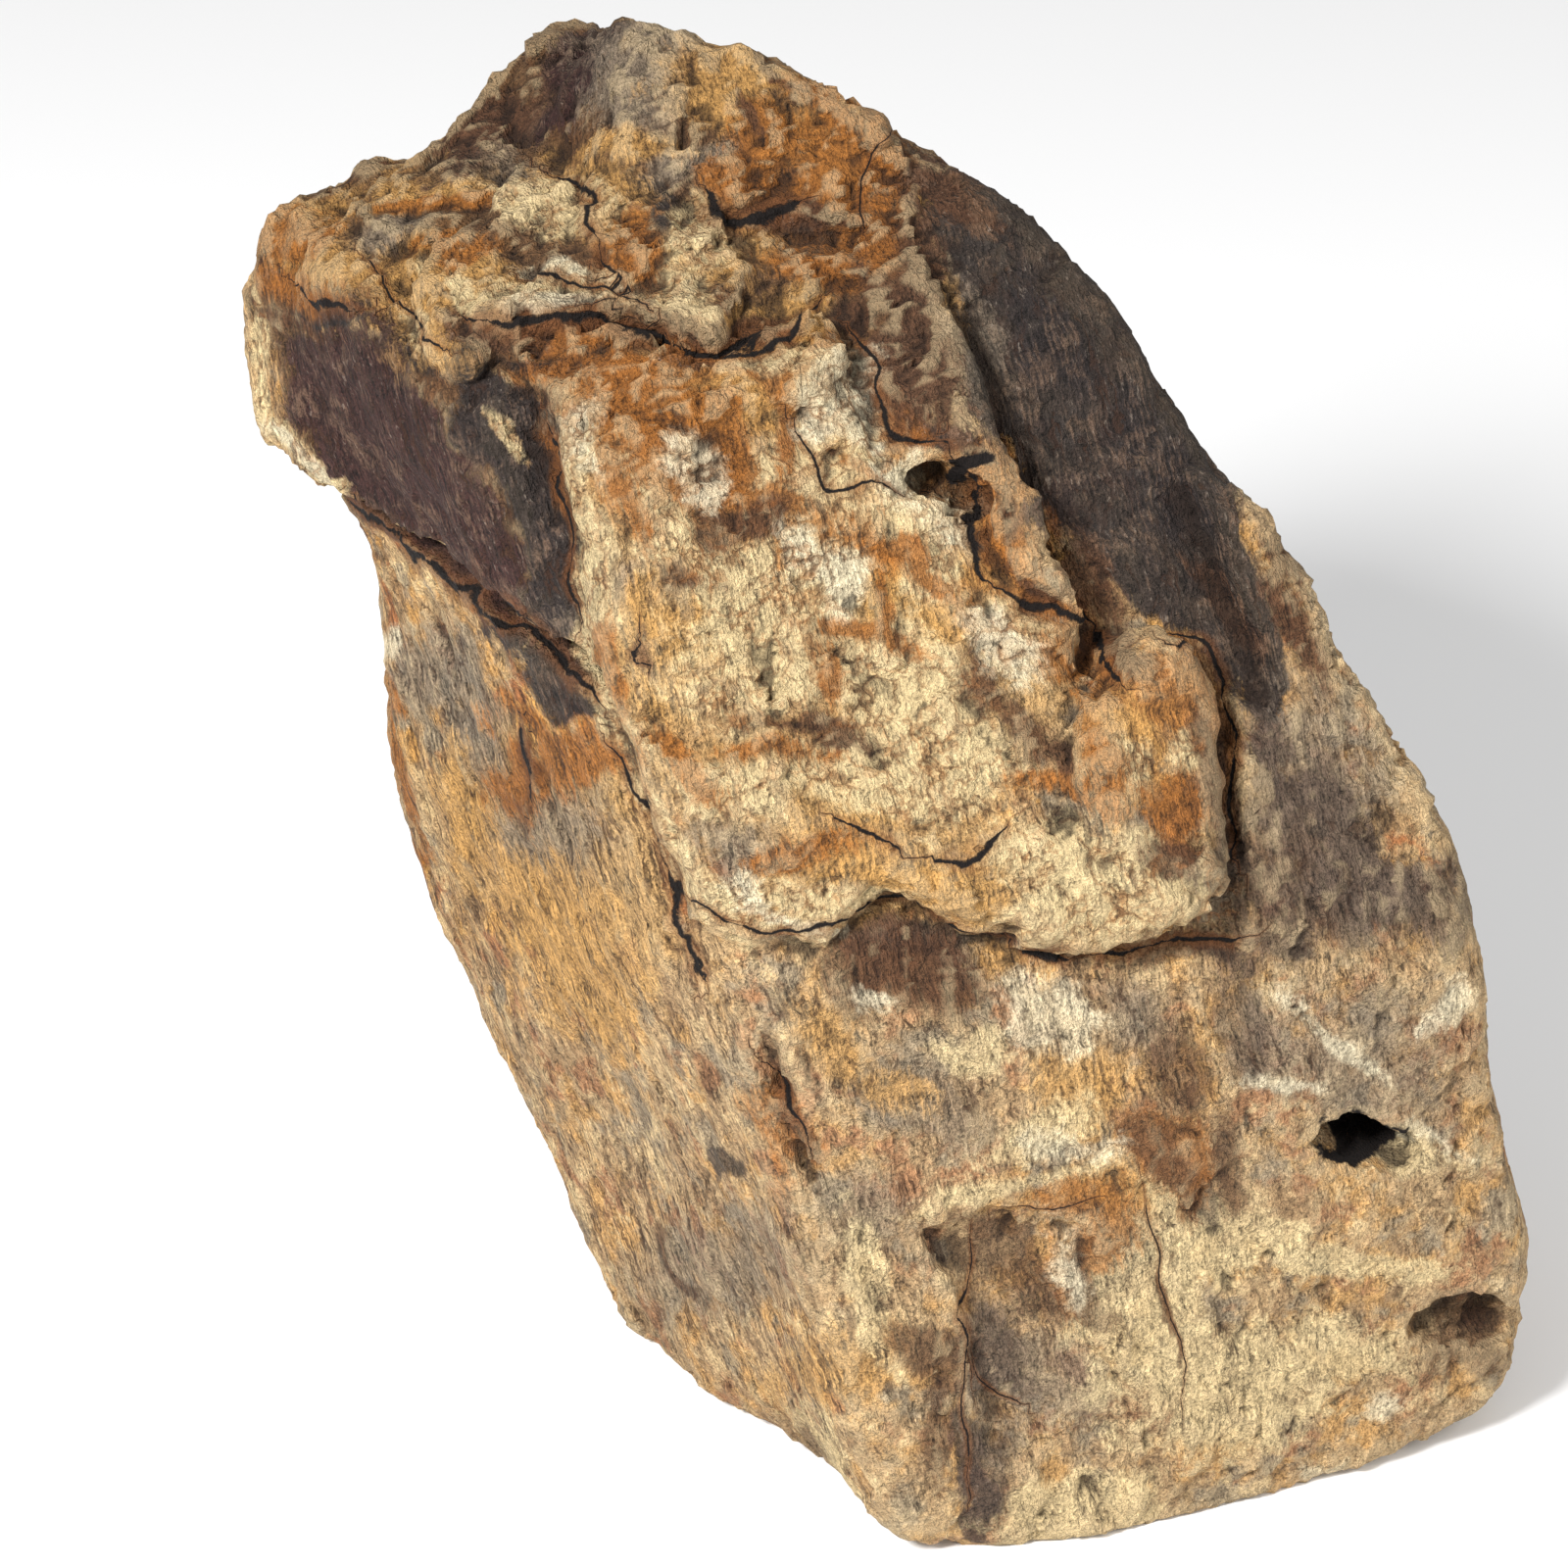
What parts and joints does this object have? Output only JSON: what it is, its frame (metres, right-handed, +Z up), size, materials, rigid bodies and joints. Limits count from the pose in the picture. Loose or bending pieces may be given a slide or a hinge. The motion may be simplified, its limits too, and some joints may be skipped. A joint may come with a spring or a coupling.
{
  "type": "rough stone specimen",
  "caption": "Rough iron-stained block of foliated stone with an overhanging cap, a proud pale slab, cracks and a hollow; stands free as a display or landscape rock.",
  "frame": {"origin": "middle of the footprint of the bounding box, on the plane the stone rests on", "axes": "+Z up, the longest extent; +X to the viewer's right along the broad face; -Y towards the viewer, out of the face with the pale slab"},
  "size_m": [0.2612, 0.2012, 0.2766],
  "materials": {
    "stone": "rough"
  },
  "bodies": {
    "root": {"stone": "stone"}
  },
  "joints": []
}
